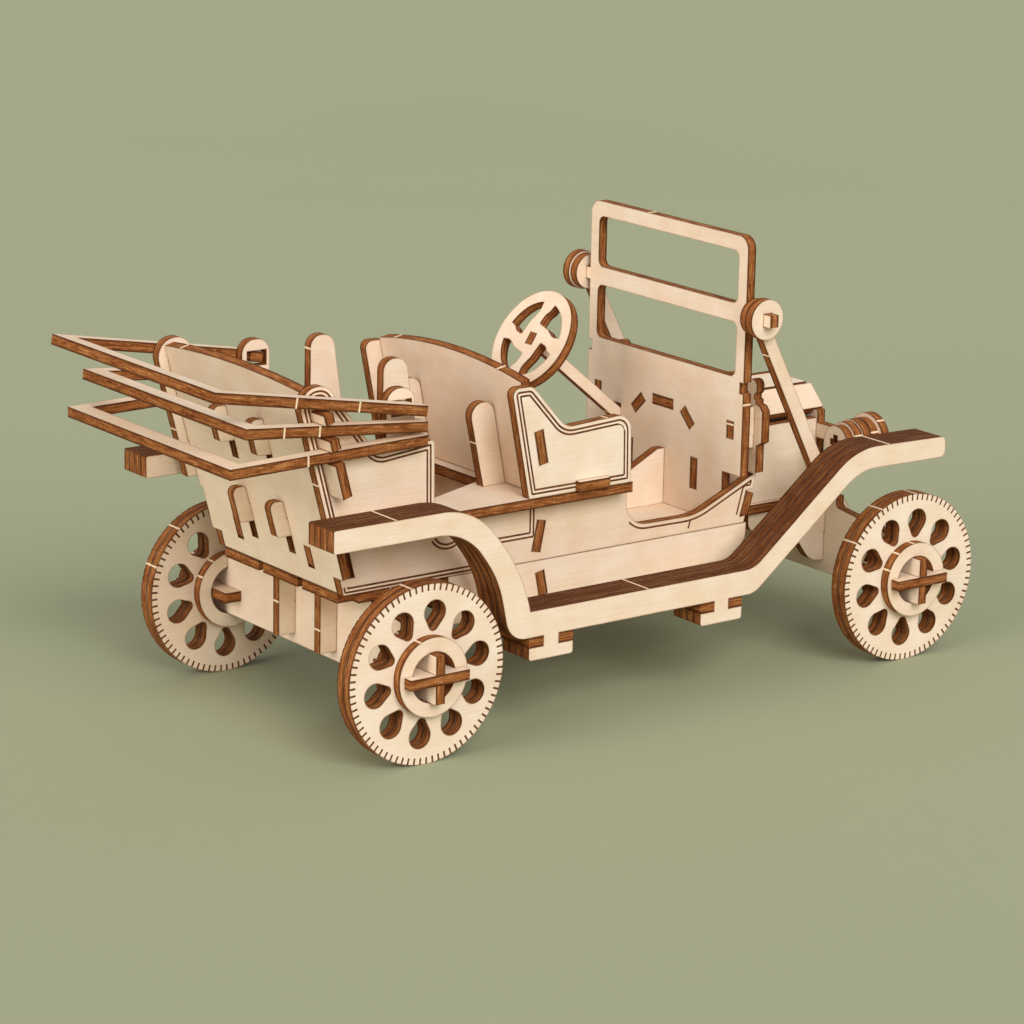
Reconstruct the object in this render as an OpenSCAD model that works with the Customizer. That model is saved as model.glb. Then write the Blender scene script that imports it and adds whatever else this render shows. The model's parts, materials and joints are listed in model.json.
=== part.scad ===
// Slot-together plywood model of an open vintage touring car with its roof folded back.
// Every piece is one flat ply. X points forward, Y to the car's left, Z up, in mm.
// The origin is on the ground, below the middle of the car's length and width.

/* [Plywood] */
// Thickness of one ply
ply = 2; // [1.9:0.05:2]
// Gap left round every tab where it passes through a slot
slot_gap = 0.06; // [0.03:0.01:0.1]

/* [Running gear] */
// Radius of the wheels
wheel_r = 17; // [16.5:0.1:17.2]
// Distance between the two axles
wheelbase = 117.5; // [116:0.5:119]
// Distance from the middle of the car to the outer face of a wheel
wheel_face_y = 35.8; // [35.8:0.1:37]
// Number of windows cut in each wheel
wheel_windows = 10; // [6:1:10]
// Turn of the left wheels at rest, in degrees
left_wheel_turn = -2; // [-18:0.5:18]
// Turn of the right wheels at rest, in degrees
right_wheel_turn = -7.5; // [-18:0.5:18]

/* [Body] */
// Height of the floor's top face above the ground
floor_top = 29.5; // [29.4:0.1:29.6]
// Half the width between the lower side panels
body_half_w = 19; // [18.9:0.05:19]
// Half the width between the upper side panels
upper_half_w = 23; // [22.9:0.05:23]
// Backward lean of the rear panel, in degrees
rear_lean = 15.2; // [14.8:0.1:15.6]
// Backward lean of the front seat's back, in degrees
seat_lean = 11.3; // [11:0.1:11.6]
// Height of the windshield's top edge
windshield_top = 87.2; // [84:0.2:90]

/* [Folded roof] */
// Reach of the three bows behind their front ends
bow_reach = [45.85, 38.9, 42.1];
// Upward tilt of the three bows, in degrees
bow_tilt = [10.1, 5.3, -1.0];

/* [Hidden] */

$fn = 96;
basswood = [0.93, 0.84, 0.70];
LEFT = 1;
RIGHT = -1;

// Lengths below are measured forward from the rear axle; body_frame() then centres the car.
front_axle_x = wheelbase;
axle_z = wheel_r;
glue_gap = 0.04;
laminate = ply - glue_gap;

floor_bottom = floor_top - ply;
floor_rear_x = -8.4;
low_finger_top = 32.6;
riser_x = 33.9;
spacer_x = 36.7;
spacer_tab = [2.4, 7.1];
deck_bottom = floor_top + 11.5;
deck_top = deck_bottom + ply;
body_out_y = body_half_w + ply;
upper_out_y = upper_half_w + ply;
dash_x = 82.2;
dash_front_x = dash_x + ply;
windshield_half_w = upper_half_w + 1.4;

// Hub of a wheel: the axle wall's tab and a flat key cross each other inside the hub rings.
hub_hole_r = 4.8;
hub_ring_r = 7.5;
hub_tab_half_h = 4.6;
hub_inner_y = wheel_face_y - 3 * ply;
hub_outer_y = wheel_face_y + ply;
key_head_y = hub_outer_y + 0.1;
key_end_y = key_head_y + ply;
key_inner_y = 25;
key_half_w = 4.5;
key_head_half_w = 6.5;
key_cross_y = 32.5;

rear_wall_bottom = 14.1;
rear_hanger_y = 6;
front_wall_bottom = 14.4;

// Fenders hang on the two carrier plates, which grip T-shaped lugs below the running boards.
fender_in_y = 27.7;
board_bottom = 20;
carrier_bottom = board_bottom - ply;
lug_bottom = carrier_bottom - 2.5;
lug_half_l = 5.1;
lug_stem_half_l = 1.75;
rear_lug_x = 28.1;
front_lug_x = 69;

// Windshield struts, each held by a washer on a tab of the windshield
strut_in_y = windshield_half_w + 1.25;
strut_top = [dash_x + ply / 2, 72];
washer_r = 3.95;
strut_head_r = washer_r - 0.4;
ear_half_h = 1.2;

// Folded roof: three flat frames, stacked at their front ends
bow_front_x = 5;
bow_front_z = [64.7, 61.8, 59.3];
bow_in_y = upper_out_y + 0.2;
bow_out_y = 28;
bow_bar_w = 3.6;
bow_tab_x = [0.2, 3.0];
stay_hole = [-1, 3.4];

// Steering
steer_tilt = 33;
steer_hub = [60.75, 62.35];
steer_wheel_r = 10.5;
column_slope = 39.5;
column_y = 13.4;
column_w = 2.4;

// Hood
hood_half_w = 9.2;
hood_bottom = floor_top;
hood_side_top = 45.2;
hood_top_z = 49.2;
hood_top_half_w = 4.9;
shoulder_half_l = 2.9;
radiator_x = 113.2;
hood_front_x = radiator_x + ply + 0.3;
lamp_y = 21.5;
lamp_z = 42.7;

// Cowl lamps
bracket_y = 19.9;
cowl_lamp_x = 87.4;

car_front_x = front_axle_x + wheel_r;
car_rear_x = bow_front_x - bow_reach[0] * cos(bow_tilt[0]) - ply * sin(bow_tilt[0]);
centre_x = (car_front_x + car_rear_x) / 2;

// ---------- outlines ----------

function unit(v) = v / norm(v);
function xy(p) = [p[0], p[1]];

// Arc that rounds the corner b between a and c with radius r
function fillet(a, b, c, r, steps = 12) =
    r == 0 ? [b] :
    let (
        u = unit(a - b),
        v = unit(c - b),
        half = acos(u * v) / 2,
        centre = b + unit(u + v) * r / sin(half),
        start = b + u * r / tan(half) - centre,
        from = atan2(start[1], start[0]),
        turn = (180 - 2 * half) * (cross(u, v) > 0 ? -1 : 1)
    )
    [for (i = [0:steps]) centre + r * [cos(from + turn * i / steps), sin(from + turn * i / steps)]];

// Closed outline through corners given as [x, y, corner radius]
function outline(corners) =
    let (n = len(corners))
    [for (i = [0:n - 1])
        each fillet(xy(corners[(i + n - 1) % n]), xy(corners[i]), xy(corners[(i + 1) % n]), corners[i][2])];

// Rear face of the rear panel and of the front seat's back at height z
function rear_face_x(z) = floor_rear_x - (z - floor_top) * tan(rear_lean);
function seat_face_x(z) = 29.5 - (z - 65) * tan(seat_lean);

// Distance up a leaning plate from its foot to height z
function up_rear(z) = (z - floor_top) / cos(rear_lean);
function up_seat(z) = (z - deck_top) / cos(seat_lean);

// Distance up the rear panel, depth below its rear face, to where bow k's side arms cross it;
// drop picks the arm's top face (0) or bottom face (ply)
function crossing_s(k, depth, drop) =
    let (
        x = floor_rear_x + depth * cos(rear_lean),
        z = floor_top + depth * sin(rear_lean),
        rise = tan(bow_tilt[k])
    )
    (bow_front_z[k] - drop / cos(bow_tilt[k]) - z + (bow_front_x - x) * rise)
        / (cos(rear_lean) - sin(rear_lean) * rise);

// Full outline from the corners of its right half, listed from the middle outwards
function symmetric(half) =
    concat(half, [for (i = [len(half) - 1:-1:0]) [-half[i][0], half[i][1], half[i][2]]]);

module rect(x0, y0, x1, y1) {
    translate([min(x0, x1), min(y0, y1)]) square([abs(x1 - x0), abs(y1 - y0)]);
}

// ---------- placing ----------

module body_frame() {
    translate([-centre_x, 0, 0]) color(basswood) children();
}

module on_side(side) {
    mirror([0, side == LEFT ? 0 : 1, 0]) children();
}

// Ply standing lengthwise: outline in X and Z, from y outwards
module lengthwise(y, thickness = ply) {
    translate([0, y + thickness, 0]) rotate([90, 0, 0]) linear_extrude(thickness) children();
}

// Ply standing crosswise: outline in Y and Z, from x forwards
module crosswise(x, thickness = ply) {
    translate([x, 0, 0]) rotate([90, 0, 90]) linear_extrude(thickness) children();
}

// Ply lying flat: outline in X and Y, from z upwards
module flat(z) {
    translate([0, 0, z]) linear_extrude(ply) children();
}

// Ply standing crosswise and leaning back about its foot at [x, z]
module leaning(x, z, lean) {
    translate([x, 0, z]) rotate([0, -lean, 0]) crosswise(0) children();
}

// Slot for a tab that fills the rectangle given
module slot(x0, y0, x1, y1) {
    rect(min(x0, x1) - slot_gap, y0 - slot_gap, max(x0, x1) + slot_gap, y1 + slot_gap);
}

// Slot in the rear panel for a level tab between heights z0 and z1
module rear_slot(y0, y1, z0, z1) {
    slot(y0, up_rear(z0) - ply * tan(rear_lean), y1, up_rear(z1));
}

// ---------- chassis ----------

module floor_plate() {
    nose_half_w = 12;
    body_frame() flat(floor_bottom) difference() {
        union() {
            rect(floor_rear_x, -body_half_w + slot_gap, 88, body_half_w - slot_gap);
            rect(80, -nose_half_w, radiator_x - slot_gap, nose_half_w);
            rect(-5, -body_out_y, 2, body_out_y);
        }
        for (side = [LEFT, RIGHT])
            translate([floor_rear_x, side * 6.6]) square([2.4, 1.6], center = true);
    }
}

module rail(side) {
    body_frame() on_side(side) lengthwise(body_half_w) difference() {
        polygon(outline([
            [15, board_bottom, 0], [79, board_bottom, 6], [87, 26, 3], [87, floor_top - slot_gap, 0],
            [15, floor_top - slot_gap, 0]
        ]));
        translate([spacer_x, board_bottom]) rotate(seat_lean) slot(0, spacer_tab[0], ply, spacer_tab[1]);
    }
}

// Cross plate between the rails, leaning back like the front seat
module rail_spacer() {
    height = (floor_bottom - slot_gap - board_bottom) / cos(seat_lean) - ply * tan(seat_lean);
    body_frame() leaning(spacer_x, board_bottom, seat_lean) {
        rect(-body_half_w + slot_gap, 0, body_half_w - slot_gap, height);
        rect(-body_out_y + 0.1, spacer_tab[0], body_out_y - 0.1, spacer_tab[1]);
    }
}

// Cross wall whose ends reach through the two wheels of an axle
module axle_wall(x, bottom, top, shoulder_y, shoulder_top, hanger_y) {
    mid_z = (bottom + floor_bottom) / 2;
    body_frame() crosswise(x - ply / 2) difference() {
        union() {
            polygon(outline(symmetric([
                [25.5, bottom, 2], [hub_inner_y - slot_gap, 18, 2], [hub_inner_y - slot_gap, 25, 2],
                [shoulder_y, shoulder_top, 1], [shoulder_y, top, 0]
            ])));
            rect(-key_end_y, axle_z - hub_tab_half_h, key_end_y, axle_z + hub_tab_half_h);
        }
        for (side = [LEFT, RIGHT]) {
            slot(side * key_cross_y, axle_z - ply / 2, side * (key_end_y + 1), axle_z + ply / 2);
            slot(side * hanger_y, mid_z, side * (hanger_y + ply), top + 1);
        }
    }
}

module rear_axle_wall() {
    axle_wall(0, rear_wall_bottom, floor_bottom - slot_gap, 19, floor_bottom - 1, rear_hanger_y);
}

module front_axle_wall() {
    axle_wall(front_axle_x, front_wall_bottom, 29, 14.5, 26.7, hood_half_w);
}

module rear_hangers() {
    bottom = 14.4;
    mid_z = (rear_wall_bottom + floor_bottom) / 2;
    body_frame() for (side = [LEFT, RIGHT]) on_side(side) lengthwise(rear_hanger_y) difference() {
        rect(-4.7, bottom, 4.7, floor_bottom - slot_gap);
        slot(-ply / 2, bottom - 1, ply / 2, mid_z);
    }
}

module front_hangers() {
    mid_z = (front_wall_bottom + floor_bottom) / 2;
    body_frame() for (side = [LEFT, RIGHT]) on_side(side) lengthwise(hood_half_w) difference() {
        polygon(outline([
            [96, floor_bottom - slot_gap, 0], [96, 24, 2], [108, 22, 6], [113, 15, 5], [123, 15, 5],
            [123, floor_bottom - slot_gap, 3]
        ]));
        slot(front_axle_x - ply / 2, 10, front_axle_x + ply / 2, mid_z);
    }
}

// Flat cross plate with two prongs at each end that grip the fenders' lugs
module carrier(lug_x) {
    end_y = fender_in_y + 4 * ply;
    body_frame() flat(carrier_bottom) difference() {
        rect(lug_x - lug_half_l, -end_y, lug_x + lug_half_l, end_y);
        for (side = [LEFT, RIGHT])
            rect(lug_x - lug_stem_half_l - slot_gap, side * (fender_in_y - slot_gap),
                lug_x + lug_stem_half_l + slot_gap, side * (end_y + 1));
    }
}

module fender(side) {
    body_frame() on_side(side) for (layer = [0:3])
        lengthwise(fender_in_y + layer * ply, laminate) fender_outline();
}

module fender_outline() {
    top = 46.8;
    board_top = 25;
    front_top = 45.3;
    difference() {
        polygon(outline([
            [-20.5, top, 0.4], [10, top, 15], [21, 33.6, 34], [23.2, board_top, 0],
            [77, board_top, 6], [102.3, front_top, 15], [125.8, 44.8, 1.2],
            [125.8, 40.6, 1.2], [103.4, 40.9, 12], [77.2, board_bottom, 5],
            [18.6, board_bottom, 4.5], [15.8, 32.3, 22], [8.4, 42.5, 12], [-20.5, 42.5, 0.4]
        ]));
        for (x = [rear_lug_x, front_lug_x])
            rect(x - 0.1, board_bottom - 1, x + 0.1, board_bottom - 0.5);
    }
    for (x = [rear_lug_x, front_lug_x]) {
        rect(x - lug_stem_half_l, lug_bottom, x + lug_stem_half_l, board_bottom + 0.5);
        polygon(outline([
            [x - lug_half_l, lug_bottom, 0.6], [x + lug_half_l, lug_bottom, 0.6],
            [x + lug_half_l, carrier_bottom - slot_gap, 0], [x - lug_half_l, carrier_bottom - slot_gap, 0]
        ]));
    }
}

// ---------- wheels ----------

module wheel(side, x) {
    turn = side == LEFT ? left_wheel_turn : right_wheel_turn;
    body_frame() translate([x, 0, axle_z]) on_side(side) {
        lengthwise(wheel_face_y - 2 * ply, laminate) wheel_outline(turn);
        lengthwise(wheel_face_y - ply, laminate) wheel_outline(turn);
        lengthwise(hub_inner_y, laminate) hub_ring_outline();
        lengthwise(wheel_face_y, laminate) hub_ring_outline();
    }
}

module hub_ring_outline() {
    difference() {
        circle(hub_ring_r);
        circle(hub_hole_r);
    }
}

module wheel_outline(turn) {
    difference() {
        circle(wheel_r);
        circle(hub_hole_r);
        for (i = [0:wheel_windows - 1])
            rotate(90 + turn + i * 360 / wheel_windows) window_outline();
    }
}

// Teardrop with its narrow end at the hub
module window_outline() {
    narrow_x = 9.2;
    wide_x = 11.6;
    narrow_r = 1.05;
    wide_r = 2.35;
    lean = asin((wide_r - narrow_r) / (wide_x - narrow_x));
    translate([narrow_x, 0]) circle(narrow_r);
    translate([wide_x, 0]) circle(wide_r);
    ends = [[narrow_x, narrow_r, 1], [wide_x, wide_r, 1], [wide_x, wide_r, -1], [narrow_x, narrow_r, -1]];
    polygon([for (end = ends) [end[0] - end[1] * sin(lean), end[2] * end[1] * cos(lean)]]);
}

module wheel_keys() {
    body_frame() for (x = [0, front_axle_x], side = [LEFT, RIGHT])
        translate([x, 0, 0]) on_side(side) flat(axle_z - ply / 2) difference() {
            union() {
                rect(-key_half_w, key_inner_y, key_half_w, key_head_y + 0.1);
                rect(-key_head_half_w, key_head_y, key_head_half_w, key_end_y);
            }
            slot(-ply / 2, key_inner_y - 1, ply / 2, key_cross_y);
        }
}

// ---------- body ----------

module body_side(side) {
    toe_x = 85;
    body_frame() on_side(side) lengthwise(body_half_w) difference() {
        polygon(outline([
            [floor_rear_x, floor_top, 0], [86.3, floor_top, 0], [89.5, 39.4, 0.5],
            [74, 32.7, 14], [56.8, 32.9, 5], [56.8, deck_bottom, 0],
            [rear_face_x(deck_bottom) + 3.3, deck_bottom, 0],
            [rear_face_x(low_finger_top) + 3.3, low_finger_top, 0],
            [rear_face_x(low_finger_top), low_finger_top, 0]
        ]));
        polygon([[toe_x + 0.3, 30.8], [toe_x + 4, 30.8], [toe_x + 4, 36], [toe_x + 1.7, 36]]);
        translate([riser_x, floor_top]) rotate(-seat_lean) slot(0, 2, ply, 8);
    }
}

module deck_plate() {
    rear_x = -9.3;
    well_rear_half_w = 16.2;
    well_front_half_w = 8.4;
    body_frame() flat(deck_bottom) difference() {
        rect(rear_x, -upper_out_y, 55, upper_out_y);
        polygon(outline([
            [-12, -well_rear_half_w, 0], [12, -well_rear_half_w, 2], [31.4, -well_front_half_w, 3],
            [31.4, well_front_half_w, 3], [12, well_rear_half_w, 2], [-12, well_rear_half_w, 0]
        ]));
    }
}

// Sloping riser below the front seat, with a tab in each side panel
module seat_riser() {
    body_frame() translate([riser_x, 0, floor_top]) rotate([0, seat_lean, 0]) crosswise(0) {
        rect(-body_half_w + slot_gap, 0.45, body_half_w - slot_gap, 11.2);
        rect(-body_out_y, 2, body_out_y, 8);
    }
}

module rear_panel() {
    corner_s = up_rear(69);
    low_tab_s = [up_rear(low_finger_top) + 0.1, up_rear(deck_bottom)];
    tooth_y = upper_out_y + 4;
    gap = 0.1;
    teeth = [
        [up_rear(50), crossing_s(2, ply, ply) - gap],
        [crossing_s(2, 0, 0) + gap, crossing_s(1, ply, ply) - gap],
        [crossing_s(1, 0, 0) + gap, crossing_s(0, ply, ply) - gap]
    ];
    body_frame() leaning(floor_rear_x, floor_top, rear_lean) difference() {
        union() {
            polygon(outline(symmetric([
                [body_half_w - slot_gap, 0.1, 0], [body_half_w - slot_gap, low_tab_s[0], 0],
                [body_out_y + 1, low_tab_s[0], 0], [body_out_y + 1, low_tab_s[1], 0],
                [upper_half_w - slot_gap, low_tab_s[1], 0], [upper_half_w - slot_gap, up_rear(50), 0],
                [upper_out_y + 0.1, up_rear(50), 0], [upper_out_y + 0.1, up_rear(65.9), 0],
                [upper_half_w - slot_gap, up_rear(65.9), 0], [upper_half_w - slot_gap, corner_s, 0]
            ])));
            for (side = [LEFT, RIGHT], tooth = teeth)
                rect(side * upper_half_w, tooth[0], side * tooth_y, tooth[1]);
            crown(upper_half_w - slot_gap, corner_s, 1.3);
        }
        for (side = [LEFT, RIGHT]) {
            rear_slot(side * rib_y, side * (rib_y + ply), 35, 41.5);
            rear_slot(side * rib_y, side * (rib_y + ply), 51, 57.5);
            rear_slot(side * post_y, side * (post_y + ply), 33.4, 37);
        }
    }
}

// Shallow arched cap of the half width and rise given, standing on height s
module crown(half_w, s, rise) {
    r = (half_w * half_w + rise * rise) / (2 * rise);
    intersection() {
        translate([0, s + rise - r]) circle(r, $fn = 360);
        rect(-half_w, s - 1, half_w, s + rise + 1);
    }
}

module quarter_panel(side) {
    overhang = 2.1;
    body_frame() on_side(side) lengthwise(upper_half_w) difference() {
        polygon(outline([
            [rear_face_x(deck_top) - overhang, deck_top + 0.02, 0],
            [8.8, deck_top + 0.02, 0], [8.6, 57.4, 0.8], [-3.9, 56.2, 3],
            [-14.9, 70.3, 3.5], [rear_face_x(70.3) - overhang, 70.3, 3.5]
        ]));
        translate([floor_rear_x, floor_top]) rotate(rear_lean)
            slot(0, up_rear(50), ply, up_rear(65.9));
    }
}

rib_y = 5.3;
post_y = 11;
cushion_z = 46;

// Rib below the rear seat; its two hooks reach through the rear panel
module seat_rib(side) {
    front_face = ply / cos(rear_lean) + slot_gap;
    hook_reach = 3.1;
    body_frame() on_side(side) lengthwise(rib_y) {
        polygon([
            [rear_face_x(floor_top + 0.02) + front_face, floor_top + 0.02], [4.5, floor_top + 0.02],
            [4.5, cushion_z - 0.02], [rear_face_x(cushion_z) + front_face + 3, cushion_z - 0.02],
            [rear_face_x(61) + front_face + 2, 61], [rear_face_x(61) + front_face, 61]
        ]);
        for (z = [38, 54]) {
            neck_top = z + 3.4;
            polygon([
                [rear_face_x(z) - 0.5, z], [rear_face_x(z) + front_face + 0.5, z],
                [rear_face_x(neck_top) + front_face + 0.5, neck_top], [rear_face_x(neck_top) - 0.5, neck_top]
            ]);
            polygon(outline([
                [rear_face_x(z) - hook_reach, z, 0.8], [rear_face_x(z) - slot_gap, z, 0],
                [rear_face_x(z + 6.9) - slot_gap, z + 6.9, 0.8],
                [rear_face_x(z + 6.9) - hook_reach, z + 6.9, 1.2]
            ]));
        }
    }
}

// Tall round-topped post with a foot that is let into the rear panel
module tonneau_post(side) {
    front_face = ply / cos(rear_lean) + slot_gap;
    body_frame() on_side(side) lengthwise(post_y) {
        polygon(outline([
            [rear_face_x(floor_top + 0.02) + front_face, floor_top + 0.02, 0],
            [14.5, floor_top + 0.02, 0], [13.6, 50, 2], [10.6, 70.2, 2.6], [5.5, 70.2, 2.3],
            [5.4, cushion_z - 0.02, 0], [rear_face_x(cushion_z) + front_face, cushion_z - 0.02, 0]
        ]));
        polygon([
            [rear_face_x(33.4), 33.4], [rear_face_x(33.4) + front_face + 0.5, 33.4],
            [rear_face_x(37) + front_face + 0.5, 37], [rear_face_x(37), 37]
        ]);
    }
}

module rear_cushion() {
    body_frame() flat(cushion_z)
        rect(rear_face_x(cushion_z) + 5.3, -body_half_w + 0.5, 5.2, body_half_w - 0.5);
}

module seat_side(side) {
    body_frame() on_side(side) lengthwise(upper_half_w) difference() {
        polygon(outline([
            [30.4, deck_top + 0.02, 0.4], [54.5, deck_top + 0.02, 0.8], [54.2, 56.5, 3.2],
            [38.7, 55.7, 4], [30.8, 64.5, 2.2], [26, 64.5, 1.4]
        ]));
        slot(41.4, deck_top - 1, 48.6, deck_top + ply);
        translate([seat_face_x(deck_top), deck_top]) rotate(seat_lean)
            slot(0, up_seat(49.2), ply, up_seat(55.6));
    }
}

module front_seat_back() {
    corner_s = up_seat(65);
    body_frame() leaning(seat_face_x(deck_top), deck_top, seat_lean) {
        rect(-upper_half_w + slot_gap, 0.1, upper_half_w - slot_gap, corner_s);
        rect(-upper_out_y, up_seat(49.2), upper_out_y, up_seat(55.6));
        crown(upper_half_w - slot_gap, corner_s, 2.3);
    }
}

module front_cushion() {
    body_frame() flat(deck_top + 0.02) {
        rect(36.4, -upper_half_w + slot_gap, 53.6, upper_half_w - slot_gap);
        rect(41.4, -upper_out_y - 1.2, 48.6, upper_out_y + 1.2);
    }
}

// Round-topped brace standing on the deck behind the front seat's back
module back_brace(side) {
    body_frame() on_side(side) lengthwise(post_y) polygon(outline([
        [28.6, deck_top + 0.02, 0], [seat_face_x(deck_top) - 0.1, deck_top + 0.02, 0],
        [seat_face_x(59.4) - 0.1, 59.4, 2.5], [25, 59.4, 2.6]
    ]));
}

// ---------- windshield and dash ----------

module windshield() {
    window_half_w = windshield_half_w - 2.6;
    ear_end_y = strut_in_y + 3 * ply;
    body_frame() crosswise(dash_x) difference() {
        union() {
            polygon(outline([
                [-windshield_half_w, deck_bottom - 1, 0], [windshield_half_w, deck_bottom - 1, 0],
                [windshield_half_w, windshield_top, 2.6], [-windshield_half_w, windshield_top, 2.6]
            ]));
            rect(-body_half_w + slot_gap, floor_top + 0.02, body_half_w - slot_gap, deck_bottom);
            rect(-ear_end_y, strut_top[1] - ear_half_h, ear_end_y, strut_top[1] + ear_half_h);
        }
        for (window = [[59.4, 70.2], [73.9, windshield_top - 3]])
            polygon(outline([
                [-window_half_w, window[0], 1.5], [window_half_w, window[0], 1.5],
                [window_half_w, window[1], 1.5], [-window_half_w, window[1], 1.5]
            ]));
        for (side = [LEFT, RIGHT]) {
            rect(side * (windshield_half_w - 1.1), 56.4, side * (windshield_half_w + 1), 58.6);
            slot(side * hood_half_w, 34.6, side * (hood_half_w + ply), 40.8);
            slot(side * bracket_y, 47, side * (bracket_y + ply), 50.4);
            shoulder_place(side) slot(-2.1, -ply / 2, 2.1, ply / 2);
        }
        slot(-3.2, hood_top_z, 3.2, hood_top_z + ply);
        slot(column_y, 42.5, column_y + ply, 47);
    }
}

module strut(side) {
    foot = [101.6, 36.5];
    half_w = 1.4;
    along = atan2(foot[1] - strut_top[1], foot[0] - strut_top[0]);
    body_frame() on_side(side) lengthwise(strut_in_y) translate(strut_top) difference() {
        union() {
            circle(strut_head_r);
            rotate(along) rect(0, -half_w, norm(foot - strut_top), half_w);
        }
        slot(-ply / 2, -ear_half_h, ply / 2, ear_half_h);
    }
}

module strut_washer(side) {
    body_frame() on_side(side) lengthwise(strut_in_y + ply + 0.02, laminate) translate(strut_top)
        difference() {
            circle(washer_r);
            slot(-ply / 2, -ear_half_h, ply / 2, ear_half_h);
        }
}

module console() {
    body_frame() lengthwise(-ply / 2) polygon(outline([
        [58, floor_top + 0.02, 0], [dash_x - 0.05, floor_top + 0.02, 0], [dash_x - 0.05, 40.9, 0],
        [80.4, 40.9, 1.5], [62.5, 32, 3]
    ]));
}

// Sloping plate between the side panels, open in the middle for the hood
module toe_board() {
    wing_in_y = hood_half_w + ply + 0.4;
    body_frame() translate([85, 0, floor_top + 0.02]) rotate([0, 16, 0]) crosswise(0) {
        rect(-body_half_w + slot_gap, 0.6, body_half_w - slot_gap, 2.2);
        for (side = [LEFT, RIGHT]) {
            rect(side * wing_in_y, 0.6, side * (body_half_w - slot_gap), 9);
            rect(side * wing_in_y, 2, side * body_out_y, 6.4);
        }
    }
}

module steering_column() {
    body_frame() lengthwise(column_y) translate(steer_hub) {
        rotate(-column_slope) rect(ply / 2 + 0.3, -column_w / 2, 29, column_w / 2);
        rotate(-steer_tilt) rect(-ply / 2, -column_w / 2, ply, column_w / 2);
    }
}

module steering_wheel() {
    body_frame() translate([steer_hub[0], column_y + ply / 2, steer_hub[1]])
        rotate([0, steer_tilt, 0]) crosswise(-ply / 2) difference() {
            circle(steer_wheel_r);
            for (quarter = [0:3]) rotate(quarter * 90) steering_opening();
            slot(-ply / 2, -column_w / 2, ply / 2, column_w / 2);
        }
}

// Comma-shaped opening between two curved spokes, from corners given as [radius, angle, rounding]
module steering_opening() {
    corners = [
        [3.4, 5, 0.4], [5.4, 8, 1.5], [6.5, 14, 1.5], [10, 16, 0], [14, 48, 0], [10, 80, 0],
        [6.1, 77, 2], [4.4, 53, 2]
    ];
    intersection() {
        circle(8);
        polygon(outline([for (c = corners) [c[0] * cos(c[1]), c[0] * sin(c[1]), c[2]]]));
    }
}

// ---------- hood and lamps ----------

module shoulder_place(side) {
    translate([side * 7.75, 48.45]) rotate(-45 * side) children();
}

module hood_side(side) {
    body_frame() on_side(side) lengthwise(hood_half_w) {
        polygon([
            [dash_front_x + slot_gap, 33], [92, 32], [93, hood_bottom + 0.02],
            [radiator_x - slot_gap, hood_bottom + 0.02],
            [radiator_x - slot_gap, hood_side_top], [dash_front_x + slot_gap, hood_side_top]
        ]);
        rect(dash_x, 34.6, dash_front_x + 1, 40.8);
    }
}

module hood_top() {
    body_frame() flat(hood_top_z) {
        rect(dash_front_x + slot_gap, -hood_top_half_w, hood_front_x, hood_top_half_w);
        rect(dash_x, -3.2, dash_front_x + 1, 3.2);
    }
}

// One of the two sloping slats of the hood
module hood_shoulder(side) {
    body_frame() {
        crosswise(dash_front_x + slot_gap, hood_front_x - dash_front_x - slot_gap)
            shoulder_place(side) rect(-shoulder_half_l, -ply / 2, shoulder_half_l, ply / 2);
        crosswise(dash_x, ply + 0.5) shoulder_place(side) rect(-2.1, -ply / 2, 2.1, ply / 2);
    }
}

// Front wall below the hood's slats, with a round arm for each headlamp
module radiator() {
    half_w = 11.4;
    body_frame() crosswise(radiator_x) difference() {
        union() {
            polygon(outline(symmetric([
                [half_w, floor_top - 1, 1], [half_w, 46.8, 0.4], [10, 46.8, 0],
                [7.7, hood_top_z - slot_gap, 0]
            ])));
            rect(-lamp_y, lamp_z - 1.5, lamp_y, lamp_z + 1.5);
            for (side = [LEFT, RIGHT])
                translate([side * lamp_y, lamp_z]) circle(4.2);
        }
        for (side = [LEFT, RIGHT])
            shoulder_place(side) slot(-shoulder_half_l, -ply / 2, shoulder_half_l, ply / 2);
    }
}

// Stack of round plies glued to both faces of the radiator's round arm
module headlamp(side) {
    rear_radii = [3.9, 3.4];
    front_radii = [4.2, 5];
    body_frame() on_side(side) {
        for (i = [0:1])
            crosswise(radiator_x - (i + 1) * ply, laminate) translate([lamp_y, lamp_z]) difference() {
                circle(rear_radii[i]);
                if (i == 1) {
                    square([3, 1.2], center = true);
                    square([1.2, 3], center = true);
                }
            }
        for (i = [0:1])
            crosswise(radiator_x + ply + glue_gap + i * ply, laminate)
                translate([lamp_y, lamp_z]) circle(front_radii[i]);
    }
}

// Lamp-shaped ply on a bracket that is let into the windshield plate
module cowl_lamp(side) {
    body_frame() on_side(side) {
        lengthwise(bracket_y) {
            rect(dash_front_x + slot_gap, 44.7, cowl_lamp_x - slot_gap, 53);
            rect(dash_x, 47, cowl_lamp_x + ply, 50.4);
        }
        crosswise(cowl_lamp_x) difference() {
            cowl_lamp_outline();
            slot(bracket_y, 47, bracket_y + ply, 50.4);
        }
    }
}

module cowl_lamp_outline() {
    translate([bracket_y + ply / 2, 0]) polygon(outline(symmetric([
        [1.9, 39.6, 0.3], [1.9, 45.2, 0], [3.3, 46, 0.3], [3.3, 52.2, 0], [2.4, 53.2, 0], [1.3, 53.4, 0],
        [1.3, 54.2, 0], [0.7, 54.4, 0], [0.7, 55.2, 0], [1.4, 55.8, 0.8], [1.4, 58.2, 1.2]
    ])));
}

// ---------- folded roof ----------

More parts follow.
